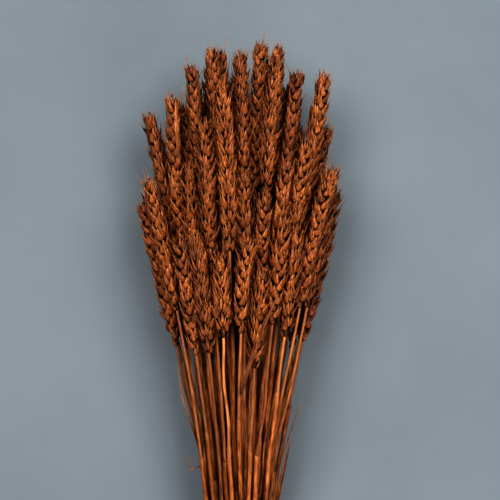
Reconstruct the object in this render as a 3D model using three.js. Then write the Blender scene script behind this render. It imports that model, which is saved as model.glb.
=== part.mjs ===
/*
 * A bundle of dried, dyed wheat, tied at the waist and lying on a flat surface.
 *
 * Millimetres, +Z up. The bundle lies along Y: its cut ends point to -Y and its ears to +Y.
 * X runs across it. Each stalk grew as one piece, so its culm and its ear are one solid.
 * The stalks stand in four rings about the bundle's own line. A ring is small and round at
 * the tie, and wide and a little flattened at the ears, where the bundle rests on its side.
 */
import * as THREE from 'three';

// Stalks.
const CULM_DIAMETER = 3.4; // at the cut end and at the tie
const CULM_TOP_DIAMETER = 2.3; // just below the ear
const EAR_LENGTH = 110; // of a full-sized ear
const EAR_WIDTH = 12; // without the bristling tips of its scales
const EAR_THICKNESS = 10;

// Bundle, measured along Y from the tie.
const FOOT_LENGTH = 235; // from the tie down to the cut ends
const BARE_LENGTH = 154; // from the tie up to the lowest ears
const HEAD_LENGTH = 2.1 * EAR_LENGTH; // from the lowest ears to the topmost tip
const WIDEST_DROP = 1.1 * EAR_LENGTH; // from the topmost tip down to where the head is widest
const LEVEL_RISE = 0.4 * EAR_LENGTH; // above the lowest ears, where the bundle starts to lie level

/*
 * Room between neighbouring rings of stalks. At the ears, which are turned any way, it is an ear's
 * width and half its thickness, less how far the ears of one ring nest between those of the next.
 */
const CULM_GAP = 1.35; // at the tie
const NESTING_ACROSS = 1; // at the ears, along X
const NESTING_UP = 4.5; // at the ears, along Z

// Shape of the rings.
const RING_COUNT = 4;
const UNDERSIDE = 0.88; // share of a ring's half height that is left under the bundle's line
const FOOT_SPLAY = 0.06; // how fast the rings widen below the tie
const CUT_UNEVENNESS = 5; // how far the cut ends differ in length

// Natural irregularity of a stalk.
const SWAY = 2; // how far a culm bows to one side
const NOD = 4; // how far an ear's tip leans to one side
const TURN_RANGE = 100; // degrees that the ears' broad faces differ by
const SEED = 11;

// Where a culm's rings of corners stand, as shares of the length below and above the tie.
const FOOT_BEND = 0.5;
const BARE_BEND = 0.4;

// Binding and dry leaves.
const BAND_WIDTH = 15;
const BAND_THICKNESS = 2.2;
const BAND_BEVEL = 0.3; // share of its thickness
const BAND_CLEARANCE = 0.6; // from the outermost culms
const LEAF_THICKNESS = 0.6;
const TOUCHING_GAP = 0.4; // kept between pieces that rest on each other

// Fineness of the solids.
const STALK_SIDES = 8;
const BAND_SIDES = 32;
const LEAF_STEPS = 6;

// The outline of an ear: how far up it is, and how wide there, as shares of its length and width.
const EAR_OUTLINE = [[0.07, 0.55], [0.2, 0.9], [0.4, 1], [0.66, 0.96], [0.86, 0.7], [0.96, 0.35]];

/*
 * Where each stalk stands: its bearing about the bundle's line (0 is +X, 90 is up), how far its
 * tip is below the topmost one, and its ear's length, these two as shares of EAR_LENGTH. Some say
 * how their ear turns its broad face from level, in degrees, or how far its tip leans towards +X,
 * as a share of EAR_LENGTH; the others turn and lean by chance.
 */
const RINGS = [
  {
    share: 0.24,
    stalks: [[48, 0, 0.98], [120, 0.05, 0.94], [192, 0.14, 1], [264, 0.2, 0.92], [336, 0.1, 0.95]],
  },
  {
    share: 0.5,
    stalks: [
      [20, 0.18, 0.92], [56, 0.03, 0.98, { turn: 30 }], [86, 0.08, 0.9], [113, 0.05, 0.96],
      [140, 0.15, 0.88], [166, 0.42, 0.86], [196, 0.38, 0.9], [229, 0.34, 0.9], [262, 0.22, 0.96],
      [294, 0.24, 0.86], [335, 0.26, 0.94],
    ],
  },
  {
    share: 0.75,
    stalks: [
      [1, 0.53, 0.92, { lean: 0.04 }], [22, 0.2, 0.95, { lean: 0 }], [38, 0.64, 0.9, { lean: 0.028 }],
      [54, 0.76, 0.84, { lean: 0.026 }], [68, 0.98, 0.57, { lean: -0.01 }],
      [82, 0.84, 0.86, { lean: -0.04 }], [98, 0.29, 1.06, { turn: 0, lean: -0.02 }],
      [117, 0.51, 0.98, { lean: 0.03 }], [135, 0.79, 0.9], [151, 0.35, 0.96, { lean: 0.07 }],
      [168, 0.45, 0.94, { lean: -0.05 }], [194, 0.66, 0.9], [218, 0.5, 0.94], [243, 0.62, 0.9],
      [267, 0.48, 0.96], [291, 0.72, 0.8], [315, 0.52, 0.92], [339, 0.68, 0.9],
    ],
  },
  {
    share: 1,
    stalks: [
      [3, 0.94, 0.98], [17, 0.8, 0.9], [32, 0.88, 0.82], [46, 1.02, 0.86, { lean: -0.05 }],
      [61, 1.1, 0.7], [75, 1.45, 0.62, { lean: 0.02 }], [88, 1.27, 0.58, { lean: 0.06 }],
      [103, 1.36, 0.52, { turn: 5 }], [118, 1.22, 0.76, { turn: 20 }], [133, 1.25, 0.74],
      [150, 0.88, 0.84], [172, 1.03, 0.92], [190, 0.94, 0.9], [209, 1.16, 0.82], [227, 1, 0.88],
      ...[245, 262, 279, 296].map((bearing) => [bearing, 1.08, 0.84, { turn: 0 }]),
      [313, 0.98, 0.88], [330, 1.14, 0.84], [347, 1.02, 0.88],
    ],
  },
];

/*
 * The dry leaf scraps and the loose straw, which lie on the outer stalks: their width, and the
 * place of each end as three shares: of the head's length above the lowest ears, of the bundle's
 * half width, and of the outermost ring.
 */
const SCRAPS = [
  { name: 'dry_leaf_front', width: 3.4, foot: [-0.06, 0.03, 1.03], tip: [0.24, 0.5, 1.14] },
  { name: 'dry_leaf_upper', width: 3, foot: [0.64, -0.56, 0.82], tip: [0.82, -0.52, 0.82] },
  { name: 'loose_straw', width: 1.4, foot: [-0.3, 0.93, 1], tip: [-0.1, 0.97, 1] },
];

const TOP_LEVEL = BARE_LENGTH + HEAD_LENGTH;
const WIDEST_LEVEL = TOP_LEVEL - WIDEST_DROP;
const LEVEL_HEAD = BARE_LENGTH + LEVEL_RISE;
const WAIST_RADIUS = RING_COUNT * (CULM_DIAMETER + CULM_GAP);
const HEAD_HALF_WIDTH = RING_COUNT * (EAR_WIDTH + EAR_THICKNESS / 2 - NESTING_ACROSS);
const HEAD_HALF_HEIGHT = RING_COUNT * (EAR_WIDTH + EAR_THICKNESS / 2 - NESTING_UP);
const FOOT_RADIUS = Math.hypot(WAIST_RADIUS, FOOT_SPLAY * FOOT_LENGTH);
const HEAD_LINE_HEIGHT = UNDERSIDE * HEAD_HALF_HEIGHT + EAR_THICKNESS / 2;
const FOOT_LINE_HEIGHT = UNDERSIDE * FOOT_RADIUS + CULM_DIAMETER / 2;

const STRAW = new THREE.MeshStandardMaterial({ color: 0xb5622c, roughness: 0.75, metalness: 0 });
const LEAF = new THREE.MeshStandardMaterial({ color: 0xa9683a, roughness: 0.8, metalness: 0 });
const RAFFIA = new THREE.MeshStandardMaterial({ color: 0xc9a878, roughness: 0.85, metalness: 0 });

// A repeatable source of numbers from 0 to 1 (the mulberry32 generator).
function makeRandom(seed) {
  let state = seed;
  return () => {
    state = (state + 0x6d2b79f5) | 0;
    let mixed = Math.imul(state ^ (state >>> 15), 1 | state);
    mixed = (mixed + Math.imul(mixed ^ (mixed >>> 7), 61 | mixed)) ^ mixed;
    return ((mixed ^ (mixed >>> 14)) >>> 0) / 4294967296;
  };
}

// The outermost ring's half width and half height at a level along the bundle.
function ringSize(level) {
  if (level < 0) {
    const radius = Math.hypot(WAIST_RADIUS, FOOT_SPLAY * level);
    return { halfWidth: radius, halfHeight: radius };
  }
  const flare = Math.sqrt(HEAD_HALF_WIDTH ** 2 - WAIST_RADIUS ** 2) / WIDEST_LEVEL;
  const rise = THREE.MathUtils.smoothstep(level, 0, LEVEL_HEAD);
  return {
    halfWidth: Math.hypot(WAIST_RADIUS, flare * level),
    halfHeight: THREE.MathUtils.lerp(WAIST_RADIUS, HEAD_HALF_HEIGHT, rise),
  };
}

// The height of the bundle's own line: low at the cut ends, level along the ears.
function lineHeight(level) {
  const rise = THREE.MathUtils.smoothstep(level, -FOOT_LENGTH, LEVEL_HEAD);
  return THREE.MathUtils.lerp(FOOT_LINE_HEIGHT, HEAD_LINE_HEIGHT, rise);
}

// The middle of a stalk at a level, for its ring's share and its bearing in degrees.
function stalkMiddle(level, share, bearing) {
  const ring = ringSize(level);
  const angle = THREE.MathUtils.degToRad(bearing);
  return new THREE.Vector3(
    share * Math.cos(angle) * ring.halfWidth,
    level,
    lineHeight(level) + share * Math.max(Math.sin(angle), -UNDERSIDE) * ring.halfHeight,
  );
}

// The levels of a stalk's rings of corners, with its half sizes there. The ends close on a point.
function stalkStations(footLevel, earBase, earLength) {
  const culm = CULM_DIAMETER / 2;
  const culmTop = CULM_TOP_DIAMETER / 2;
  const footBend = -FOOT_BEND * FOOT_LENGTH;
  const bareBend = BARE_BEND * BARE_LENGTH;
  const bends = [footBend, -BAND_WIDTH / 2, BAND_WIDTH / 2, bareBend];
  const stations = [[footLevel, 0, 0], [footLevel, culm, culm]];
  bends.forEach((level) => stations.push([level, culm, culm]));
  stations.push([earBase, culmTop, culmTop]);
  EAR_OUTLINE.forEach(([up, wide]) => {
    stations.push([earBase + up * earLength, (wide * EAR_WIDTH) / 2, (wide * EAR_THICKNESS) / 2]);
  });
  stations.push([earBase + earLength, 0, 0]);
  return stations;
}

// A closed solid with one ring of corners at each station, round the middle that path gives.
function sweptSolid(stations, path, roll) {
  const last = stations.length - 1;
  const profile = stations.map((_, i) => new THREE.Vector2(i === 0 || i === last ? 0 : 1, i));
  const solid = new THREE.LatheGeometry(profile, STALK_SIDES);
  const corners = solid.attributes.position;
  for (let i = 0; i < corners.count; i += 1) {
    const [level, halfWidth, halfThickness] = stations[Math.round(corners.getY(i))];
    const offset = new THREE.Vector2(corners.getX(i) * halfWidth, corners.getZ(i) * halfThickness);
    offset.rotateAround(new THREE.Vector2(), roll);
    const middle = path(level);
    corners.setXYZ(i, middle.x + offset.x, level, middle.z + offset.y);
  }
  solid.computeVertexNormals();
  return solid;
}

// One stalk: a culm that rises through the tie, and an ear that may sway and nod a little.
function makeStalk(name, share, [bearing, drop, earShare, pose = {}], random) {
  const earLength = earShare * EAR_LENGTH;
  const earBase = TOP_LEVEL - drop * EAR_LENGTH - earLength;
  const footLevel = -FOOT_LENGTH + CUT_UNEVENNESS * random();
  const sway = SWAY * (2 * random() - 1);
  const chanceLean = (NOD * (2 * random() - 1)) / EAR_LENGTH;
  const chanceTurn = 90 + TURN_RANGE * (random() - 0.5);
  const nod = EAR_LENGTH * (pose.lean ?? chanceLean);
  const roll = THREE.MathUtils.degToRad(pose.turn ?? chanceTurn);
  const path = (level) => {
    const middle = stalkMiddle(level, share, bearing);
    const up = THREE.MathUtils.clamp(level / earBase, 0, 1);
    const upEar = Math.max((level - earBase) / earLength, 0);
    middle.x += sway * Math.sin(Math.PI * up) + nod * upEar ** 2;
    return middle;
  };
  const stations = stalkStations(footLevel, earBase, earLength);
  const stalk = new THREE.Mesh(sweptSolid(stations, path, roll), STRAW);
  stalk.name = name;
  return stalk;
}

// All the stalks, ring by ring from the inside out.
function makeStalks() {
  const random = makeRandom(SEED);
  const stalks = [];
  RINGS.forEach(({ share, stalks: places }) => {
    places.forEach((place) => {
      const name = `stalk_${String(stalks.length + 1).padStart(2, '0')}`;
      stalks.push(makeStalk(name, share, place, random));
    });
  });
  return stalks;
}

// The raffia band round the waist, which follows the outermost culms all the way round.
function makeBand() {
  const inner = CULM_DIAMETER / 2 + BAND_CLEARANCE;
  const outer = inner + BAND_THICKNESS;
  const half = BAND_WIDTH / 2;
  const edge = BAND_BEVEL * BAND_THICKNESS;
  const section = [
    [inner, -half], [outer - edge, -half], [outer, -half + edge],
    [outer, half - edge], [outer - edge, half], [inner, half], [inner, -half],
  ];
  const profile = section.map(([radius, level]) => new THREE.Vector2(radius, level));
  const solid = new THREE.LatheGeometry(profile, BAND_SIDES);
  const corners = solid.attributes.position;
  for (let i = 0; i < corners.count; i += 1) {
    const angle = Math.atan2(corners.getZ(i), corners.getX(i));
    const level = corners.getY(i);
    const middle = stalkMiddle(level, 1, THREE.MathUtils.radToDeg(angle));
    corners.setXYZ(i, middle.x + corners.getX(i), level, middle.z + corners.getZ(i));
  }
  const band = new THREE.Mesh(solid, RAFFIA);
  band.name = 'raffia_band';
  return band;
}

// A thin strip that lies on a ring of stalks, pointed at both ends.
function makeScrap({ name, width, foot, tip }) {
  const footLevel = BARE_LENGTH + foot[0] * HEAD_LENGTH;
  const tipLevel = BARE_LENGTH + tip[0] * HEAD_LENGTH;
  const thickness = Math.min(width, LEAF_THICKNESS);
  const clearance = CULM_DIAMETER / 2 + TOUCHING_GAP + thickness / 2;
  const path = (level) => {
    const across = THREE.MathUtils.mapLinear(level, footLevel, tipLevel, foot[1], tip[1]);
    const ring = THREE.MathUtils.mapLinear(level, footLevel, tipLevel, foot[2], tip[2]);
    const size = ringSize(level);
    const up = Math.sqrt(ring ** 2 - across ** 2);
    const outward = new THREE.Vector2(across / size.halfWidth, up / size.halfHeight);
    outward.setLength(clearance);
    return new THREE.Vector3(
      across * size.halfWidth + outward.x,
      level,
      lineHeight(level) + up * size.halfHeight + outward.y,
    );
  };
  const stations = [[footLevel, 0, 0]];
  for (let step = 1; step < LEAF_STEPS; step += 1) {
    const level = THREE.MathUtils.lerp(footLevel, tipLevel, step / LEAF_STEPS);
    stations.push([level, width / 2, thickness / 2]);
  }
  stations.push([tipLevel, 0, 0]);
  const tilt = -Math.asin((foot[1] + tip[1]) / (foot[2] + tip[2]));
  const scrap = new THREE.Mesh(sweptSolid(stations, path, tilt), LEAF);
  scrap.name = name;
  return scrap;
}

const bundle = new THREE.Group();
bundle.add(...makeStalks(), makeBand(), ...SCRAPS.map(makeScrap));

// The origin is under the middle of the bundle, on the surface it lies on.
const box = new THREE.Box3().setFromObject(bundle);
bundle.position.set(-(box.min.x + box.max.x) / 2, -(box.min.y + box.max.y) / 2, -box.min.z);

export default bundle;
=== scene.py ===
"""
A bundle of dried wheat, dyed rust orange and tied at the waist, lying on a pale surface.

Metres, +Z up. The bundle lies along Y with its ears towards +Y, and the camera looks straight
down on it. Every stalk follows its CAD node: the culm runs through the middles of the node's
rings of corners, and the ear is built spikelet by spikelet where the node is thick.
"""

import math

import bpy
import numpy as np
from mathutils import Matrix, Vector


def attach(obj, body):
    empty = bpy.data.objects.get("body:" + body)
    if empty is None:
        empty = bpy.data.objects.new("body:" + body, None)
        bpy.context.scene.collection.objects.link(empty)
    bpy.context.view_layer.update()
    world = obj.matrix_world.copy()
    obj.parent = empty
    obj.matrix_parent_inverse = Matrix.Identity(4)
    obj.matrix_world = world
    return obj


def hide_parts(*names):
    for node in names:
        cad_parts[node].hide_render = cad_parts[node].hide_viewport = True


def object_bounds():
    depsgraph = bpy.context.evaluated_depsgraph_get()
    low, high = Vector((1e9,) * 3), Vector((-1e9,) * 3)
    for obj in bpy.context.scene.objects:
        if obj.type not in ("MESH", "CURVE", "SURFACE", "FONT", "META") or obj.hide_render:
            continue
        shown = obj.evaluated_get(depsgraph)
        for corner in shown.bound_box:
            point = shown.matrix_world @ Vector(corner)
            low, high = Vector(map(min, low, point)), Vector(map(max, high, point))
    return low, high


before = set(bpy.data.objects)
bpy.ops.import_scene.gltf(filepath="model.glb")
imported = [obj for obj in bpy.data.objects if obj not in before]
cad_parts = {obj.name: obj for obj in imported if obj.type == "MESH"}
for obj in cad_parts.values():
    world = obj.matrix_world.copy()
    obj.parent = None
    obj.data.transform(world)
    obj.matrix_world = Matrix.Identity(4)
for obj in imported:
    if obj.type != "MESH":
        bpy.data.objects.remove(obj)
cad_low, cad_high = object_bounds()
random = np.random.default_rng(5)

MM = 0.001
UP = np.array([0.0, 0.0, 1.0])
RIGHT = np.array([1.0, 0.0, 0.0])
AHEAD = np.array([0.0, 1.0, 0.0])

# A stalk's rings of corners in CAD, counted from the foot.
BARE_RING = 3
EAR_BASE_RING = 5
WIDEST_RING = 8

FRONT_LIT_STALK = "stalk_23"  # its ear lies in front of the others and gets the lightest painted tint, as the most lit
MIDDLE_TINT = 0.4  # of bodies whose shade isn't left to chance
HEIGHT_SHADING = 0.55  # how much of a stalk's tint goes with its height, as painted shade that darkens the lower stalks; the rest is chance

# Culm, or stem.
CULM_SIDES = 12
CULM_STEP = 4 * MM
CULM_SWAY = 0.7 * MM
SWAY_POINTS = 5
SWAY_SHAPE = (1, 0, 0.5)  # across, along and up
CULM_RADIUS = 1.5 * MM  # bare, low down
NECK_RADIUS = 1.0 * MM  # just below the ear
CULM_TAPER = 1.6  # the power with which it thins upwards
CULM_IN_EAR = 2 * MM
BORE_RADIUS = 0.95 * MM
BORE_DEPTH = 12 * MM
CUT_EDGE = 0.12 * MM
JOINT_SWELL = 0.3  # how much thicker a culm is at a joint, as a share
JOINT_REACH = 1.3 * MM
JOINT_LEVELS = np.array([-2.4, -1.6, -0.8, 0, 0.8, 1.6, 2.4]) * MM  # rings about a joint
FIRST_JOINT = (20 * MM, 110 * MM)  # above the cut end
JOINT_SPACING = (95 * MM, 170 * MM)
LAST_JOINT = 110 * MM  # below the ear, at least

# Leaf sheath, which wraps the culm from a joint up.
SHEATH_SHARE = (0.36, 0.8)  # how much of the culm between two joints it covers
SHEATH_STEP = 5 * MM
SHEATH_HEM = 1.5 * MM  # from its first ring to its second
SHEATH_LAST_STEP = 2 * MM  # at least
SHEATH_ROOM = 0.34 * MM  # from the culm to the sheath's outer face
SHEATH_GRIP = 0.1  # the share of that room at its foot
SHEATH_GAPE = 1.5  # and at its end, where it gapes
GAPE_LENGTH = 12 * MM
SHEATH_INSIDE = 0.9  # its inner face's radius, as a share of the culm's
SHEATH_EDGE = 0.14 * MM
SHEATH_TEAR = 2.2 * MM
TEAR_SCATTER = 0.5  # how ragged the tear is, as a share of that

# Shrivelled leaf blade, at the end of a sheath. Its widths are shares, up along it.
BLADE_STEPS = 26
BLADE_LENGTH = (60 * MM, 150 * MM)
BLADE_ROOM = 10 * MM  # kept clear between a blade's tip and the ear
BLADE_OVERLAP = 6 * MM  # with its sheath
BLADE_DRIFTS = (2 * MM, 4 * MM)  # how far each of a sheath's two blades wanders off
BLADE_SWING = 1.7  # radians of that drift's wave, from foot to tip
BLADE_STAND = 2 * MM  # from the culm's middle
BLADE_RISE = 6  # it stands off in full from a sixth of its length up
BLADE_WAVE = 1.5 * MM
BLADE_WAVES = 9  # radians of that wave, from foot to tip
BLADE_TWIST = 2.5  # radians, at most
BLADE_HALF_WIDTH = (1.2 * MM, 2.2 * MM)
BLADE_TAPER = ([0, 0.1, 0.5, 0.85, 1], [0.6, 1, 0.9, 0.5, 0.08])
BLADE_CURL = 0.7  # a share of its half width
BLADE_THICKNESS = 0.25 * MM
SHELTERED = 0.72  # stalks whose ears lie lower than this share of the height keep their blades

STRIP_SIDES = 16
STRIP_ROUNDING = 0.5  # the power that squares off a strip's edges

# Ear. What changes up an ear is given as places up it, as shares, and the values there.
SPIKELET_PITCH = 4.4 * MM  # between spikelets, which alternate from side to side
FIRST_SPIKELET = 0.3  # of a pitch above the ear's base
TIP_ROOM = 9 * MM  # between the last spikelet's foot and the ear's tip
SPIKELET_LEAN = 14  # degrees, away from the ear's axis
SMALL_LEAN = 0.4  # the share of that which even the smallest spikelets lean
SPIKELET_ROOT = 0.15 * MM  # from the ear's axis
SPIKELET_SIZES = ([0, 0.08, 0.28, 0.75, 1], [0.55, 0.8, 1.08, 1.02, 0.8])
BRISTLE_SIZES = ([0, 0.5, 1], [0.5, 0.8, 1.2])
END_SPIKELET = dict(size=0.85, bristle=1.2)
END_DEPTH = 2 * MM  # how far the end spikelet's foot is sunk in the ear
RACHIS_SIDES = 8
RACHIS_RADIUS = 1.3 * MM
RACHIS_SIZES = ([0, 0.15, 1], [0.7, 1, 0.5])
RACHIS_SHAPE = (1.25, 1.5)  # across the spikelets and along them, as shares of its radius
RACHIS_ZIGZAG = 0.45 * MM

# How much chance changes a spikelet and its scales: angles in degrees, sizes as shares.
LEAN_SCATTER = 2
SPREAD_SCATTER = 5
FACING_SCATTER = 9
TILT_SCATTER = 5
TILT = 1
SIZE_SCATTER = 0.04
LENGTH_SCATTER = 0.06
WIDTH_SCATTER = 0.05

# Scale, and the awn, or bristle, at its tip.
SCALE_SIDES = 10
SCALE_ROUNDING = 0.8
SCALE_BACK = 0.66  # how far its back bulges, as a share of half its width
SCALE_HOLLOW = 0.26  # how far the side that holds the grain does
SCALE_ARCH = 0.05  # a share of its length
SLIVER_WIDTH = 1.6 * MM  # thinner scales are bare edges, without the painted shade at their rims
SLIVER_RIDGE = 0.9
AWN_SIDES = 4
AWN_STEPS = 5
AWN_ROOT = 0.12  # how much of its length is sunk in the scale
AWN_BEND = 0.12  # a share of its length
AWN_RADII = (0.24 * MM, 0.06 * MM)  # at its foot and its tip
AWN_PULL = 0.3  # how far it keeps to its scale's direction
WORN_AWN = (0.3, 1.3)  # how long most awns are, as shares of their usual length
WHOLE_AWN = (3, 6)  # how long the unbroken ones are
WHOLE_AWN_SHARE = 0.07

# Raffia band. Its node's corners are read this far to each side of a bearing, in radians.
BAND_READ_REACH = math.radians(6.75)
STRAND_STEPS = 96
STRAND_SIDES = 24
STRAND_LANES = (-0.28, 0.3, 0.02, -0.12, 0.16)  # each strand's place across the band
STRAND_HALF_WIDTH = (0.15, 0.21)  # this and the lanes are shares of the band's width,
STRAND_WANDER = 0.09  # and so are these two, which let it stray from its lane
STRAND_RIPPLE = 0.02
STRAND_SWELL = 0.12  # how much its width changes on its way, as a share
STRAND_DEPTH = 1.75 * MM  # of the innermost strand below the node's outer face
STRAND_PITCH = 0.38 * MM  # by which each strand lies further out than the one before
STRAND_WOBBLE = 0.1 * MM
STRAND_FOLD = 0.16 * MM
STRAND_THICKNESS = 0.4 * MM
STRAND_ROUNDING = 0.4
STRAND_RIPPLES = 5  # these three are waves in one turn round the waist
STRAND_WOBBLES = 7
STRAND_SWELLS = 3
STRAND_FOLDS = 9  # radians, from a strand's middle to its edge
STRAND_GRAIN = 40  # how far apart two strands are in the grain
GRAIN_LOOP = 12  # radius of the loop the grain makes, to meet itself

# Dry scraps of leaf, and the loose straw.
SCRAP_STEPS = 40
SCRAP_THICKNESS = 0.3 * MM
SCRAP_TURN = 2.2 * math.pi
SCRAP_TAPER = ([0, 0.06, 0.3, 0.75, 1], [0.35, 0.8, 1, 0.7, 0.08])
SCRAP_WAVER = 0.1  # how much the width wavers, as a share
SCRAP_WAVERS = 17  # radians of that, from end to end
SCRAPS = {
    "dry_leaf_front": dict(half_width=1.7 * MM, curl=0.9 * MM, roll=0.5, spring=0),
    "dry_leaf_upper": dict(half_width=1.6 * MM, curl=0.9 * MM, roll=0.5, spring=0),
    "loose_straw": dict(half_width=0.9 * MM, curl=0.6 * MM, roll=0.2, spring=6.5 * MM),
}

LIFT = 0.35 * MM  # the lowest that anything lies above the surface
PRESS = 0.3 * MM  # how softly what lies lower is pressed flat
TRAVEL_REACH = 0.5 * MM  # how far to each side a line's direction is read
GRAIN_OFFSET = 500  # mm, at most, along each axis, so that no two bodies have the same grain

# Threads torn from the sheaths of two stalks. The hook is how far a thread turns, in degrees,
# after it has drooped.
THREAD_STEPS = 16
THREAD_SIDES = 6
THREAD_DROOP = 22  # degrees
THREAD_BEND = (0.42, 0.62)  # where along it the hook begins and ends
THREAD_RISE = 0.2
THREAD_RADII = (0.5 * MM, 0.25 * MM)
TORN_THREADS = {
    "stalk_35": dict(level=-9 * MM, side=1, length=7 * MM, hook=60),
    "stalk_46": dict(level=12 * MM, side=-1, length=19 * MM, hook=112),
}

# How wide a scale is along its length, as shares of its length and width.
SCALE_ALONG = np.array([0, 0.06, 0.16, 0.32, 0.5, 0.68, 0.84, 1])
SCALE_WIDE = np.array([0.4, 0.78, 0.98, 1, 0.84, 0.53, 0.25, 0.05])

# Scales of one spikelet. Sizes are for a full-sized one; angles are in degrees. Spread is how far
# a scale fans out, facing how far its back turns from the ear's side to the fan's edge.
SPIKELET = (
    dict(spread=21, across=2.1, along=0, out=0, length=8.6, width=5.4, facing=70, awn=0.8),
    dict(spread=27, across=1.9, along=2.2, out=1.4, length=8.6, width=1.3, facing=60, awn=1.2),
    dict(spread=19, across=1.5, along=1.7, out=1, length=10.2, width=4.6, facing=52, awn=2.4),
    dict(spread=13, across=0.9, along=3.7, out=1.2, length=9, width=3.8, facing=40, awn=2.2),
    dict(spread=4, across=0, along=5.2, out=1, length=8, width=2.8, facing=16, awn=1.6),
)


class Shape:
    """Gathers closed bodies, all of four-cornered faces, for one mesh."""

    def __init__(self):
        self.points = []
        self.faces = []
        self.materials = []
        self.grain = []
        self.tint = []
        self.ridge = []
        self.size = 0

    def add(self, rings, material, grain, tint, joined=False, ridge=1.0):
        """Adds a body of rings of points. Its ends are closed off, or meet if it is joined."""
        stations, sides = rings.shape[:2]
        index = self.size + np.arange(stations * sides).reshape(stations, sides)
        low = index if joined else index[:-1]
        high = np.roll(index, -1, axis=0) if joined else index[1:]
        quads = [np.stack([low, np.roll(low, -1, 1), np.roll(high, -1, 1), high], -1).reshape(-1, 4)]
        if not joined:
            near = np.arange(sides // 2 - 1)
            cap = np.stack([near, near + 1, sides - 2 - near, sides - 1 - near], -1)
            quads += [index[-1][cap], index[0][cap[:, ::-1]]]
        quads = np.concatenate(quads)
        self.points.append(rings.reshape(-1, 3))
        self.faces.append(quads)
        self.materials.append(np.full(len(quads), material))
        self.grain.append(grain.reshape(-1, 3))
        self.tint.append(np.broadcast_to(tint, rings.shape).reshape(-1, 3))
        self.ridge.append(np.broadcast_to(ridge, rings.shape[:2]).ravel())
        self.size += stations * sides

    def build(self, name, materials):
        """Makes the mesh object, with the grain and the tint of every point as attributes."""
        points = np.concatenate(self.points)
        points[:, 2] = above_surface(points[:, 2])
        faces = np.concatenate(self.faces)
        mesh = bpy.data.meshes.new(name)
        mesh.vertices.add(len(points))
        mesh.vertices.foreach_set("co", points.ravel())
        mesh.loops.add(faces.size)
        mesh.loops.foreach_set("vertex_index", faces.ravel())
        mesh.polygons.add(len(faces))
        mesh.polygons.foreach_set("loop_start", np.arange(0, faces.size, 4))
        mesh.polygons.foreach_set("material_index", np.concatenate(self.materials))
        mesh.update(calc_edges=True)
        mesh.shade_smooth()
        for label, values in (("grain", self.grain), ("tint", self.tint)):
            attribute = mesh.attributes.new(label, "FLOAT_VECTOR", "POINT")
            attribute.data.foreach_set("vector", np.concatenate(values).ravel())
        ridge = mesh.attributes.new("ridge", "FLOAT", "POINT")
        ridge.data.foreach_set("value", np.concatenate(self.ridge))
        for material in materials:
            mesh.materials.append(material)
        piece = bpy.data.objects.new(name, mesh)
        bpy.context.scene.collection.objects.link(piece)
        return piece


def above_surface(heights):
    """Presses what would sink into the surface flat on it, softly."""
    room = heights - LIFT
    return LIFT + (room + np.sqrt(room**2 + PRESS**2)) / 2


def unit(vectors):
    """The same directions, each 1 long."""
    return vectors / np.linalg.norm(vectors, axis=-1, keepdims=True)


def rounded(values, power):
    """Values from -1 to 1 raised to a power, with their signs kept."""
    return np.sign(values) * np.abs(values) ** power


def flattened(vector, normal):
    """The part of a vector that is square to a unit normal, as a unit vector."""
    return unit(vector - np.sum(vector * normal, -1, keepdims=True) * normal)


class Path:
    """A smooth line through points that climb along Y."""

    def __init__(self, points):
        self.levels = points[:, 1]
        self.points = points
        self.slopes = np.gradient(points, self.levels, axis=0)

    def at(self, levels):
        levels = np.atleast_1d(levels)
        span = np.clip(np.searchsorted(self.levels, levels) - 1, 0, len(self.levels) - 2)
        width = (self.levels[span + 1] - self.levels[span])[:, None]
        t = (levels - self.levels[span])[:, None] / width
        start, end = self.points[span], self.points[span + 1]
        leave, arrive = self.slopes[span] * width, self.slopes[span + 1] * width
        return (
            (2 * t**3 - 3 * t**2 + 1) * start
            + (t**3 - 2 * t**2 + t) * leave
            + (3 * t**2 - 2 * t**3) * end
            + (t**3 - t**2) * arrive
        )

    def travel(self, levels):
        """The direction of the line at those levels."""
        levels = np.asarray(levels)
        return unit(self.at(levels + TRAVEL_REACH) - self.at(levels - TRAVEL_REACH))


def read_rings(node):
    """The middles of a node's slices across Y, and the widest direction of each slice."""
    points = np.unique(np.round([v.co[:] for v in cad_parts[node].data.vertices], 6), axis=0)
    middles, wide = [], []
    for level in np.unique(points[:, 1]):
        ring = points[points[:, 1] == level]
        middle = ring.mean(axis=0)
        spokes = ring - middle
        middles.append(middle)
        wide.append(spokes[np.argmax(np.linalg.norm(spokes, axis=1))])
    return np.array(middles), np.array(wide)


def circle(sides):
    """Points round a circle of radius 1."""
    angle = 2 * math.pi * np.arange(sides) / sides
    return np.stack([np.cos(angle), np.sin(angle)], -1)


def sweep(line, travel, across, section):
    """Rings of points: section gives each ring's offsets across and outward."""
    across = flattened(across, travel)
    outward = np.cross(travel, across)
    return line[:, None] + section[..., :1] * across[:, None] + section[..., 1:] * outward[:, None]


def grain_of(section, along):
    """Where each point is in its body, in millimetres, with an offset that is the body's own."""
    grain = np.empty(section.shape[:2] + (3,))
    grain[..., :2] = section / MM
    grain[..., 2] = np.asarray(along)[:, None] / MM
    return grain + random.uniform(-GRAIN_OFFSET, GRAIN_OFFSET, 3)


def tints(share, own, stalk):
    """A body's tint: how far along it a point is, its own chance shade and its stalk's."""
    share = np.asarray(share, float)
    values = np.stack([share, np.full_like(share, own), np.full_like(share, stalk)], -1)
    return values[:, None]


BARE, SHEATH, SCALE, AWN, PITH = range(5)  # the wheat's materials, in their order on a mesh


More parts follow.
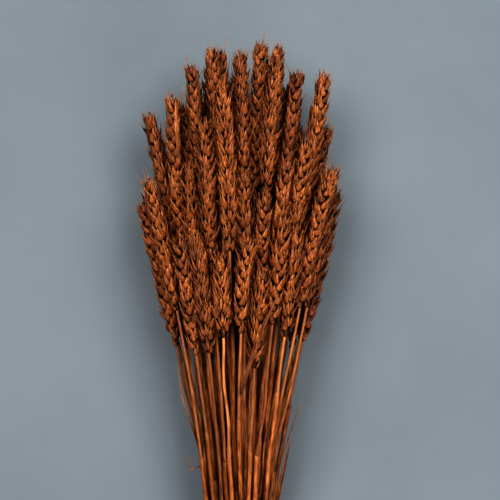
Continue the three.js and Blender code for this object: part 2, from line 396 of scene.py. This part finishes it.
def add_scale(shape, foot, direction, face, length, width, stalk_tint):
    """A glume or a lemma: a boat-shaped scale round a grain. Returns its tip and direction there."""
    profile = circle(SCALE_SIDES)
    half = 0.5 * width * SCALE_WIDE
    outer = rounded(profile[:, 1], SCALE_ROUNDING)
    bulge = np.where(outer > 0, SCALE_BACK, SCALE_HOLLOW) * outer
    section = np.stack([np.outer(half, profile[:, 0]), np.outer(half, bulge)], -1)
    arch = SCALE_ARCH * length * np.sin(math.pi * SCALE_ALONG)
    line = foot + np.outer(SCALE_ALONG * length, direction) + np.outer(arch, face)
    travel = unit(np.gradient(line, axis=0))
    rings = sweep(line, travel, np.cross(face, direction)[None], section)
    grain = grain_of(section, SCALE_ALONG * length)
    tint = tints(SCALE_ALONG, random.random(), stalk_tint)
    # The ridge runs from 1 on the scale's back to 0 on its hollow side; the material paints shade where
    # it is low.
    ridge = 0.5 + 0.5 * profile[:, 1] if width > SLIVER_WIDTH else SLIVER_RIDGE
    shape.add(rings, SCALE, grain, tint, ridge=ridge)
    return line[-1], travel[-1]


def add_awn(shape, foot, direction, bend, length, stalk_tint):
    """A bristle that tapers and bends a little."""
    along = np.linspace(-AWN_ROOT, 1, AWN_STEPS)
    sideways = AWN_BEND * length * along**2
    line = foot + np.outer(along * length, direction) + np.outer(sideways, bend)
    radius = np.interp(along, [0, 1], AWN_RADII)
    section = radius[:, None, None] * circle(AWN_SIDES)
    rings = sweep(line, unit(np.gradient(line, axis=0)), np.cross(bend, direction)[None], section)
    grain = grain_of(section, along * length)
    shape.add(rings, AWN, grain, tints(along, random.random(), stalk_tint))


def add_spikelet(shape, foot, axis, fan, outward, size, bristle, stalk_tint):
    """A pair of glumes, the pair of florets in them and the floret between: a small fan."""
    for part in SPIKELET:
        for side in (-1, 1):
            fanned = math.radians(side * part["spread"] + random.normal(0, SPREAD_SCATTER))
            facing = math.radians(side * part["facing"] + random.normal(0, FACING_SCATTER))
            tilt = math.radians(random.normal(TILT, TILT_SCATTER))
            direction = unit(math.cos(fanned) * axis + math.sin(fanned) * fan + tilt * outward)
            face = flattened(math.cos(facing) * outward + math.sin(facing) * fan, direction)
            offset = side * part["across"] * fan + part["along"] * axis + part["out"] * outward
            length = part["length"] * size * MM * random.normal(1, LENGTH_SCATTER)
            width = part["width"] * size * MM * random.normal(1, WIDTH_SCATTER)
            start = foot + size * MM * offset
            tip, travel = add_scale(shape, start, direction, face, length, width, stalk_tint)
            worn = WHOLE_AWN if random.random() < WHOLE_AWN_SHARE else WORN_AWN
            awn = part["awn"] * MM * bristle * random.uniform(*worn)
            add_awn(shape, tip, unit(travel + AWN_PULL * direction), face, awn, stalk_tint)


def add_ear(shape, path, wide, base, tip, stalk_tint):
    """Spikelets that alternate along a zigzag rachis, and one that ends it."""
    room = tip - base - TIP_ROOM
    count = round(room / SPIKELET_PITCH)
    ups = (np.arange(count) + FIRST_SPIKELET) / count
    levels = base + ups * room
    middles, travels = path.at(levels), path.travel(levels)
    fans = flattened(wide[None], travels)
    sides = np.where(np.arange(count) % 2, 1, -1)[:, None] * np.cross(travels, fans)
    sizes = np.interp(ups, *SPIKELET_SIZES)
    bristles = np.interp(ups, *BRISTLE_SIZES)
    for middle, travel, fan, side, size, bristle in zip(middles, travels, fans, sides, sizes, bristles):
        leaning = SPIKELET_LEAN * min(1, SMALL_LEAN + size**2)
        lean = math.radians(leaning + random.normal(0, LEAN_SCATTER))
        axis = math.cos(lean) * travel + math.sin(lean) * side
        outward = math.cos(lean) * side - math.sin(lean) * travel
        size = size * random.normal(1, SIZE_SCATTER)
        foot = middle + SPIKELET_ROOT * size * side
        add_spikelet(shape, foot, axis, fan, outward, size, bristle, stalk_tint)
    travel = path.travel(tip - TIP_ROOM)[0]
    foot = path.at(tip - TIP_ROOM)[0] - END_DEPTH * travel
    fan = flattened(np.cross(wide, travel), travel)
    for outward in (np.cross(travel, fan), np.cross(fan, travel)):
        add_spikelet(shape, foot, travel, fan, outward, stalk_tint=stalk_tint, **END_SPIKELET)
    add_rachis(shape, middles, travels, fans, sides, stalk_tint)


def add_rachis(shape, middles, travels, fans, sides, stalk_tint):
    """The ear's own stem, which the spikelets sit on."""
    line = middles - RACHIS_ZIGZAG * sides
    share = np.linspace(0, 1, len(line))
    radius = RACHIS_RADIUS * np.interp(share, *RACHIS_SIZES)
    section = radius[:, None, None] * circle(RACHIS_SIDES) * RACHIS_SHAPE
    rings = sweep(line, travels, fans, section)
    shape.add(rings, BARE, grain_of(section, line[:, 1]), tints(share, MIDDLE_TINT, stalk_tint))


def culm_radius(levels, foot, neck, joints):
    """A bare culm's radius: thinner towards the ear, swollen at its joints."""
    share = np.clip((levels - foot) / (neck - foot), 0, 1)
    radius = CULM_RADIUS + (NECK_RADIUS - CULM_RADIUS) * share**CULM_TAPER
    for joint in joints:
        radius = radius * (1 + JOINT_SWELL * np.exp(-(((levels - joint) / JOINT_REACH) ** 2)))
    return radius


def add_culm(shape, path, foot, neck, joints, stalk_tint):
    """The stem, from inside its hollow cut end up into the ear."""
    steps = [np.arange(foot + CUT_EDGE, neck, CULM_STEP), [neck + CULM_IN_EAR]]
    steps += [joint + JOINT_LEVELS for joint in joints]
    outer = np.unique(np.concatenate(steps))
    inner = np.array([foot + BORE_DEPTH, foot + 0.5 * BORE_DEPTH, foot + CUT_EDGE, foot])
    shaded_tone = np.array([foot])
    levels = np.concatenate([inner, shaded_tone, outer])
    radius = culm_radius(levels, foot, neck, joints)
    radius[: len(inner)] = BORE_RADIUS
    radius[len(inner)] -= CUT_EDGE
    section = radius[:, None, None] * circle(CULM_SIDES)
    rings = sweep(path.at(levels), path.travel(levels), RIGHT[None], section)
    share = (levels - foot) / (neck - foot)
    grain = grain_of(section, levels)
    tint = tints(share, random.random(), stalk_tint)
    split = len(inner) + 1
    shape.add(rings[:split], PITH, grain[:split], tint[:split])
    shape.add(rings[split - 1 :], BARE, grain[split - 1 :], tint[split - 1 :])


def add_sheath(shape, path, foot, neck, joints, start, end, stalk_tint):
    """A leaf sheath that wraps the culm from a joint up, and ends torn."""
    between = np.arange(start + SHEATH_STEP, end - SHEATH_LAST_STEP, SHEATH_STEP)
    levels = np.concatenate([[start, start + SHEATH_HEM], between, [end]])
    culm = culm_radius(levels, foot, neck, joints)
    fit = [start, start + SHEATH_STEP, end - GAPE_LENGTH, end]
    loose = np.interp(levels, fit, [SHEATH_GRIP, 1, 1, SHEATH_GAPE])
    outer = culm + SHEATH_ROOM * loose
    inner = culm * SHEATH_INSIDE
    inner[-1] = outer[-1] - SHEATH_EDGE
    profile = circle(CULM_SIDES)
    radius = np.concatenate([outer, inner[::-1]])
    order = np.concatenate([levels, levels[::-1]])
    section = radius[:, None, None] * profile
    rings = sweep(path.at(order), path.travel(order), RIGHT[None], section)
    lean = random.uniform(0, 2 * math.pi)
    slant = np.cos(np.arctan2(profile[:, 1], profile[:, 0]) - lean)
    tear = SHEATH_TEAR * (slant + random.uniform(-TEAR_SCATTER, TEAR_SCATTER, CULM_SIDES))
    top = len(levels) - 1
    rings[top : top + 2] += np.outer(tear, path.travel(end)[0])
    grain = grain_of(section, order)
    tint = tints((order - start) / (end - start), random.random(), stalk_tint)
    shape.add(rings, SHEATH, grain, tint, joined=True)


def add_strip(shape, line, across, half_width, curl, thickness, material, stalk_tint):
    """A thin dry strip of leaf, arched across its width."""
    profile = circle(STRIP_SIDES)
    rise = np.outer(curl, 1 - profile[:, 0] ** 2)
    skin = 0.5 * thickness * rounded(profile[:, 1], STRIP_ROUNDING)
    section = np.stack([np.outer(half_width, profile[:, 0]), rise + skin], -1)
    along = np.concatenate([[0], np.cumsum(np.linalg.norm(np.diff(line, axis=0), axis=1))])
    rings = sweep(line, unit(np.gradient(line, axis=0)), across, section)
    share = along / along[-1]
    shape.add(rings, material, grain_of(section, along), tints(share, random.random(), stalk_tint))


def add_blade(shape, path, start, neck, drift, stalk_tint):
    """A shrivelled leaf blade that runs up beside the culm from the end of its sheath."""
    length = min(random.uniform(*BLADE_LENGTH), neck - BLADE_ROOM - start)
    share = np.linspace(0, 1, BLADE_STEPS)
    bearing = random.uniform(0, 2 * math.pi)
    away = np.array([math.cos(bearing), 0, math.sin(bearing)])
    swing = drift * np.sin(BLADE_SWING * share) ** 2
    off = (BLADE_STAND + swing) * np.minimum(1, BLADE_RISE * share)
    wave = BLADE_WAVE * np.sin(BLADE_WAVES * share + bearing) * share
    line = path.at(start + length * share) + np.outer(off, away) + np.outer(wave, np.cross(away, AHEAD))
    turn = bearing + BLADE_TWIST * share * random.uniform(-1, 1)
    across = np.stack([np.cos(turn), np.zeros(BLADE_STEPS), np.sin(turn)], -1)
    half = random.uniform(*BLADE_HALF_WIDTH) * np.interp(share, *BLADE_TAPER)
    add_strip(shape, line, across, half, BLADE_CURL * half, BLADE_THICKNESS, BARE, stalk_tint)


def add_thread(shape, path, level, side, length, hook, stalk_tint):
    """A torn thread that stands out sideways, droops and then turns up towards the ear."""
    share = np.linspace(0, 1, THREAD_STEPS)
    bearing = np.radians(np.interp(share, THREAD_BEND, [-THREAD_DROOP, hook - THREAD_DROOP]))
    rise = np.full(THREAD_STEPS, THREAD_RISE)
    steps = np.stack([side * np.cos(bearing), np.sin(bearing), rise], -1)
    line = path.at(level) + length * np.cumsum(steps, axis=0) / THREAD_STEPS
    radius = np.linspace(*THREAD_RADII, THREAD_STEPS)
    section = radius[:, None, None] * circle(THREAD_SIDES)
    rings = sweep(line, unit(np.gradient(line, axis=0)), UP[None], section)
    tint = tints(share, random.random(), stalk_tint)
    shape.add(rings, SHEATH, grain_of(section, share * length), tint)


def with_sway(middles, neck):
    """The same line with a culm that bows a little to and fro between the tie and the ear."""
    whole = Path(middles)
    extra = np.linspace(middles[BARE_RING, 1], neck, SWAY_POINTS + 2)[1:-1]
    sway = random.normal(0, CULM_SWAY, (len(extra), 3)) * SWAY_SHAPE
    bare = whole.at(extra) + sway
    return np.concatenate([middles[: BARE_RING + 1], bare, middles[EAR_BASE_RING:]])


def joint_levels(foot, neck):
    """Where a culm's joints are."""
    joints = []
    level = foot + random.uniform(*FIRST_JOINT)
    while level < neck - LAST_JOINT:
        joints.append(level)
        level += random.uniform(*JOINT_SPACING)
    return joints


def make_stalk(node):
    """One stalk: culm, sheaths, the blades that are left and the ear."""
    middles, wide = read_rings(node)
    foot, neck, tip = middles[0, 1], middles[EAR_BASE_RING, 1], middles[-1, 1]
    path = Path(with_sway(middles, neck))
    height = middles[WIDEST_RING, 2] / cad_high[2]
    # Painted shade: stalks whose ears lie lower in the bundle get darker tints, and the front stalk
    # gets the lightest.
    stalk_tint = 1.0
    if node != FRONT_LIT_STALK:
        stalk_tint = (1 - HEIGHT_SHADING) * random.random() + HEIGHT_SHADING * height
    joints = joint_levels(foot, neck)
    shape = Shape()
    add_culm(shape, path, foot, neck, joints, stalk_tint)
    for start, end in zip(joints, joints[1:] + [neck]):
        top = start + random.uniform(*SHEATH_SHARE) * (end - start)
        add_sheath(shape, path, foot, neck, joints, start, top, stalk_tint)
        if height < SHELTERED and top < neck - BLADE_LENGTH[0]:
            for drift in BLADE_DRIFTS:
                add_blade(shape, path, top - BLADE_OVERLAP, neck, drift, stalk_tint)
    if node in TORN_THREADS:
        add_thread(shape, path, stalk_tint=stalk_tint, **TORN_THREADS[node])
    add_ear(shape, path, wide[WIDEST_RING], neck, tip, stalk_tint)
    return shape


def band_reach(node, angles):
    """The middle of the band's node, its width, and how far out it reaches at those angles."""
    points = np.array([v.co[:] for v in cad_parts[node].data.vertices])
    low, high = points.min(axis=0), points.max(axis=0)
    middle = (low + high) / 2
    spokes = points - middle
    bearing = np.arctan2(spokes[:, 2], spokes[:, 0])
    reach = np.hypot(spokes[:, 0], spokes[:, 2])
    gaps = np.abs(np.angle(np.exp(1j * (bearing - angles[:, None]))))
    outer = np.where(gaps < BAND_READ_REACH, reach, 0).max(axis=1)
    return middle, high[1] - low[1], outer


def make_band(node):
    """Flat raffia strands wound round the waist, one over another."""
    angle = np.linspace(-math.pi, math.pi, STRAND_STEPS, endpoint=False)
    middle, width, outer = band_reach(node, angle)
    profile = circle(STRAND_SIDES)
    shape = Shape()
    for turn, lane in enumerate(STRAND_LANES):
        half = width * random.uniform(*STRAND_HALF_WIDTH)
        phase = random.uniform(0, 2 * math.pi)
        ripple = STRAND_RIPPLE * np.sin(STRAND_RIPPLES * angle + 2 * phase)
        wander = STRAND_WANDER * np.sin(angle + phase) + ripple
        depth = STRAND_DEPTH - STRAND_PITCH * turn
        radius = outer - depth + STRAND_WOBBLE * np.sin(STRAND_WOBBLES * angle + phase)
        shift = width * (lane + wander)
        line = np.stack([radius * np.cos(angle), shift, radius * np.sin(angle)], -1) + middle
        travel = unit(np.roll(line, -1, 0) - np.roll(line, 1, 0))
        across = np.broadcast_to(AHEAD, line.shape)
        fold = STRAND_FOLDS * profile[:, 0] + phase
        folds = STRAND_FOLD * np.sin(fold + np.sin(STRAND_SWELLS * angle)[:, None])
        skin = 0.5 * STRAND_THICKNESS * rounded(profile[:, 1], STRAND_ROUNDING)
        wide = half * (1 + STRAND_SWELL * np.sin(STRAND_SWELLS * angle + phase))
        section = np.stack([np.outer(wide, profile[:, 0]), folds + skin], -1)
        rings = sweep(line, travel, across, section)
        grain = grain_of(section, angle)
        grain[..., 0] += STRAND_GRAIN * turn
        grain[..., 2] = GRAIN_LOOP * np.sin(angle)[:, None]
        tint = tints(np.full(STRAND_STEPS, 0.5), random.random(), 0.5)
        shape.add(rings, 0, grain, tint, joined=True)
    return shape


def make_scrap(node, half_width, curl, roll, spring):
    """A dry, curled scrap of leaf along its node, whose top may have sprung out sideways."""
    middles, wide = read_rings(node)
    path = Path(middles)
    levels = np.linspace(middles[0, 1], middles[-1, 1], SCRAP_STEPS)
    share = np.linspace(0, 1, SCRAP_STEPS)
    line = path.at(levels) + np.outer(spring * share, RIGHT)
    across = wide[len(wide) // 2]
    across = across * np.sign(across[0])
    turn = roll * np.sin(SCRAP_TURN * share)
    outward = flattened(UP[None], path.travel(levels))
    side = flattened(across[None], path.travel(levels))
    across = np.cos(turn)[:, None] * side + np.sin(turn)[:, None] * outward
    taper = np.interp(share, *SCRAP_TAPER)
    half = half_width * taper * (1 + SCRAP_WAVER * np.sin(SCRAP_WAVERS * share))
    shape = Shape()
    add_strip(shape, line, across, half, curl * taper, SCRAP_THICKNESS, 0, random.random())
    return shape


# Materials.


def put(tree, kind, inputs=None, output=0, **settings):
    """Adds a node. An input is a plain value or another node's output. Returns an output."""
    node = tree.nodes.new(kind)
    for name, value in settings.items():
        setattr(node, name, value)
    for name, value in (inputs or {}).items():
        if isinstance(value, bpy.types.NodeSocket):
            tree.links.new(value, node.inputs[name])
        else:
            node.inputs[name].default_value = value
    return node.outputs[output]


def blend(tree, factor, first, second, mode="MIX"):
    """Mixes two colours."""
    inputs = {0: factor, 6: first, 7: second}
    return put(tree, "ShaderNodeMix", inputs, output=2, data_type="RGBA", blend_type=mode)


def spread(tree, value, low, high, to_low=0.0, to_high=1.0):
    """Maps a value's range on to another."""
    inputs = {0: value, 1: low, 2: high, 3: to_low, 4: to_high}
    return put(tree, "ShaderNodeMapRange", inputs)


def noise(tree, vector, stretch, detail=3.0, rough=0.6):
    """Noise with its own fineness along each axis of the vector."""
    scaled = put(tree, "ShaderNodeVectorMath", {0: vector, 1: stretch}, operation="MULTIPLY")
    inputs = {"Vector": scaled, "Scale": 1.0, "Detail": detail, "Roughness": rough}
    return put(tree, "ShaderNodeTexNoise", inputs)


def new_material(name):
    material = bpy.data.materials.new(name)
    material.use_nodes = True
    tree = material.node_tree
    return material, tree, tree.nodes["Principled BSDF"]


def colour(red, green, blue):
    """A colour from its everyday 0 to 255 values."""
    share = np.array([red, green, blue]) / 255
    return (*np.where(share > 0.04045, ((share + 0.055) / 1.055) ** 2.4, share / 12.92), 1.0)


FIBRE_LENGTH = 0.12  # how much coarser the streaks are along the body than across it
BLOTCH_GRAIN = (0.35, 0.35, 0.09)  # per mm
SPECK_GRAIN = (2.2, 2.2, 1.1)  # per mm
SPECK_COLOUR = (70, 24, 8)
RIM_SHADE_COLOUR = (56, 24, 12)  # painted shade: what the rims and hollow side of a scale, and the foot of each body, are multiplied by
SHADES = (0.66, 1.26)  # how dark or light bodies are by chance
HUES = (0.504, 0.51)  # from the darkest-tinted stalk to the lightest, where 0.5 keeps the hue
# Value from the darkest stalk tint to the lightest: partly chance, partly painted shade on the lower
# stalks.
VALUES = (0.48, 1.02)
SATURATION = 0.95
SHINE = 0.35
BUMP_DEPTH = 0.3 * MM
ROUGH_SCATTER = 0.1

# Where each mark of the colour begins and ends in what it follows, and how much of it shows.
STREAK_RANGE = (0.32, 0.68)  # in the noise of the fibres
BLOTCH_RANGE = (0.45, 0.75)
BLOTCH_SHARE = 0.55
SPECK_RANGE = (0.62, 0.75)
SPECK_SHARE = 0.6
TIP_RANGE = (0.7, 1.0)  # along the body
TIP_SHARE = 0.55
RIM_SHADE_RANGE = (0.45, 0.86)  # of the ridge, from full painted rim shade to none
FOOT_SHADE_RANGE = (0.0, 0.2)  # painted shade at a body's foot, along the body
FOOT_SHADE_SHARE = 0.7
STALK_SHADE_RANGE = (0.1, 0.95)  # of the stalk's tint, which holds the painted shade of the lower stalks
GLOSS_RANGE = (0.3, 0.7)  # in the noise of the fibres


def toned(tree, share, own, fibres, specks, grain, dark, light, tip):
    """A body's colour before its stalk's shade: streaks, blotches, specks, tip, and painted shade on a
    scale's rims and hollow side and at each body's foot.
    """
    blotches = noise(tree, grain, BLOTCH_GRAIN, detail=2.0)
    ridge = put(tree, "ShaderNodeAttribute", output=2, attribute_name="ridge")
    tone = blend(tree, spread(tree, fibres, *STREAK_RANGE), dark, light)
    tone = blend(tree, spread(tree, blotches, *BLOTCH_RANGE, 0.0, BLOTCH_SHARE), tone, dark)
    marks = spread(tree, specks, *SPECK_RANGE, 0.0, SPECK_SHARE)
    tone = blend(tree, marks, tone, colour(*SPECK_COLOUR))
    tone = blend(tree, spread(tree, share, *TIP_RANGE, 0.0, TIP_SHARE), tone, tip)
    # Painted shade: the rims and hollow side of a scale, and the foot of every body, are darkened where
    # shade would fall.
    shaded_tone = blend(tree, 1.0, tone, colour(*RIM_SHADE_COLOUR), "MULTIPLY")
    tone = blend(tree, spread(tree, ridge, *RIM_SHADE_RANGE, 1.0, 0.0), tone, shaded_tone)
    tone = blend(tree, spread(tree, share, *FOOT_SHADE_RANGE, FOOT_SHADE_SHARE, 0.0), tone, shaded_tone)
    shade = spread(tree, own, 0.0, 1.0, *SHADES)
    grey = put(tree, "ShaderNodeCombineColor", {0: shade, 1: shade, 2: shade})
    return blend(tree, 1.0, tone, grey, "MULTIPLY")


def fibrous(name, dark, light, tip, streak, bump=0.4, rough=0.5):
    """Dry plant fibre. Streak is how fine its streaks are, per mm."""
    material, tree, shader = new_material(name)
    grain = put(tree, "ShaderNodeAttribute", output=1, attribute_name="grain")
    tint = put(tree, "ShaderNodeAttribute", output=1, attribute_name="tint")
    parts = tree.nodes.new("ShaderNodeSeparateXYZ")
    tree.links.new(tint, parts.inputs[0])
    share, own, stalk = parts.outputs
    fibres = noise(tree, grain, (streak, streak, FIBRE_LENGTH * streak))
    specks = noise(tree, grain, SPECK_GRAIN, detail=4.0, rough=0.7)
    colours = (colour(*dark), colour(*light), colour(*tip))
    tone = toned(tree, share, own, fibres, specks, grain, *colours)
    # The stalk's tint sets hue and value: partly chance, partly painted shade on the lower stalks.
    hue = spread(tree, stalk, 0.0, 1.0, *HUES)
    value = spread(tree, stalk, *STALK_SHADE_RANGE, *VALUES)
    inputs = {"Color": tone, "Hue": hue, "Saturation": SATURATION, "Value": value}
    tone = put(tree, "ShaderNodeHueSaturation", inputs)
    tree.links.new(tone, shader.inputs["Base Color"])
    ends = (rough + ROUGH_SCATTER, rough - ROUGH_SCATTER)
    roughness = spread(tree, fibres, *GLOSS_RANGE, *ends)
    tree.links.new(roughness, shader.inputs["Roughness"])
    height = put(tree, "ShaderNodeMath", {0: fibres, 1: specks}, operation="ADD")
    inputs = {"Height": height, "Strength": bump, "Distance": BUMP_DEPTH}
    tree.links.new(put(tree, "ShaderNodeBump", inputs), shader.inputs["Normal"])
    shader.inputs["Specular IOR Level"].default_value = SHINE
    return material


def wheat_materials():
    """The wheat's materials, in the order that the shapes number them in."""
    pale_pith = (214, 170, 118)
    return [
        fibrous("bare_straw", (80, 34, 16), (212, 132, 80), (196, 118, 70), streak=0.9),
        fibrous("leaf_sheath", (108, 44, 14), (218, 124, 60), (176, 102, 54), streak=1.1),
        fibrous("ear_scale", (98, 37, 12), (206, 116, 54), (232, 162, 104), streak=1.5, bump=0.5),
        fibrous("awn", (166, 82, 34), (222, 136, 74), (240, 166, 104), streak=1.5, bump=0.2),
        fibrous("pith", (150, 100, 60), pale_pith, pale_pith, streak=1.0, bump=0.5, rough=0.8),
    ]


def leaf_material():
    return fibrous("dry_leaf", (120, 58, 26), (204, 122, 70), (204, 130, 80), streak=1.4, rough=0.6)


def raffia_material():
    pale = (222, 188, 138)
    return fibrous("raffia", (168, 126, 80), pale, pale, streak=1.2, bump=0.6, rough=0.65)


FLOOR_SIZE = 6
FLOOR_COLOURS = (120, 127, 132), (127, 134, 139)
CLOUD_GRAIN = (5.0, 5.0, 5.0)  # per metre
CLOUD_RANGE = (0.3, 0.7)
FLOOR_ROUGHNESS = 0.9


def floor_material():
    """A matt, pale grey-blue painted surface with faint clouds in it."""
    material, tree, shader = new_material("floor_paint")
    place = put(tree, "ShaderNodeTexCoord", output="Object")
    clouds = noise(tree, place, CLOUD_GRAIN, detail=4.0)
    darker, lighter = FLOOR_COLOURS
    tone = blend(tree, spread(tree, clouds, *CLOUD_RANGE), colour(*darker), colour(*lighter))
    tree.links.new(tone, shader.inputs["Base Color"])
    shader.inputs["Roughness"].default_value = FLOOR_ROUGHNESS
    return material


# Soft lights: place in metres, side in metres and power in watts.
LIGHTS = {
    "left_light": ((-0.9, 0.95, 2.6), 1.5, 48),
    "right_light": ((0.9, 0.95, 2.6), 1.5, 44),
    "foot_light": ((0.9, -1.9, 1.1), 1.2, 16),
}
LIGHT_AIM = 0.2  # from the topmost ear down, as a share of the bundle's length
AIM_HEIGHT = 50 * MM
WORLD_COLOUR = (0.95, 0.97, 1.0, 1)
WORLD_STRENGTH = 0.03


def add_light(name, place, size, power, aim):
    """A square soft light that faces a point."""
    lamp = bpy.data.lights.new(name, "AREA")
    lamp.energy = power
    lamp.size = size
    light = bpy.data.objects.new(name, lamp)
    bpy.context.scene.collection.objects.link(light)
    light.location = place
    back = unit(np.array(place) - aim)
    light.rotation_euler = (math.acos(back[2]), 0, math.atan2(back[0], -back[1]))


def add_stage():
    """The surface, the lights and the faint light from all round."""
    bpy.ops.mesh.primitive_plane_add(size=FLOOR_SIZE)
    floor = bpy.context.object
    floor.name = "floor"
    floor.data.materials.append(floor_material())
    aim_level = cad_high[1] - LIGHT_AIM * (cad_high[1] - cad_low[1])
    aim = np.array([0.0, aim_level, AIM_HEIGHT])
    for name, (place, size, power) in LIGHTS.items():
        add_light(name, place, size, power, aim)
    world = bpy.data.worlds.new("studio")
    bpy.context.scene.world = world
    world.use_nodes = True
    background = world.node_tree.nodes["Background"]
    background.inputs["Color"].default_value = WORLD_COLOUR
    background.inputs["Strength"].default_value = WORLD_STRENGTH


VIEW_FIELD = 350 * MM  # what the camera sees from side to side
VIEW_MARGIN = 29 * MM  # above the topmost ear
VIEW_SHIFT = 7 * MM  # of the view's middle from the bundle's line
VIEW_DISTANCE = 1.3
VIEW_HEIGHT = 0.6  # of the bundle's height, where the view is as wide as its field
SENSOR = 36.0


def add_camera():
    """The camera, which looks straight down."""
    lens = bpy.data.cameras.new("camera")
    lens.sensor_width = SENSOR
    lens.lens = SENSOR * VIEW_DISTANCE / VIEW_FIELD
    camera = bpy.data.objects.new("camera", lens)
    bpy.context.scene.collection.objects.link(camera)
    middle = cad_high[1] + VIEW_MARGIN - VIEW_FIELD / 2
    camera.location = (VIEW_SHIFT, middle, VIEW_HEIGHT * cad_high[2] + VIEW_DISTANCE)
    scene = bpy.context.scene
    scene.camera = camera
    scene.view_settings.view_transform = "Standard"
    scene.view_settings.look = "Very High Contrast"


def show(shape, name, node, materials):
    """Puts a piece in the place of its node."""
    piece = shape.build(name, materials)
    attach(piece, "root")
    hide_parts(node)


wheat = wheat_materials()
leaf = [leaf_material()]
raffia = [raffia_material()]

for node in sorted(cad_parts):
    if node.startswith("stalk_"):
        show(make_stalk(node), f"wheat_{node}", node, wheat)
show(make_band("raffia_band"), "raffia_strands", "raffia_band", raffia)
for node, form in SCRAPS.items():
    show(make_scrap(node, **form), f"{node}_scrap", node, leaf)

add_stage()
add_camera()
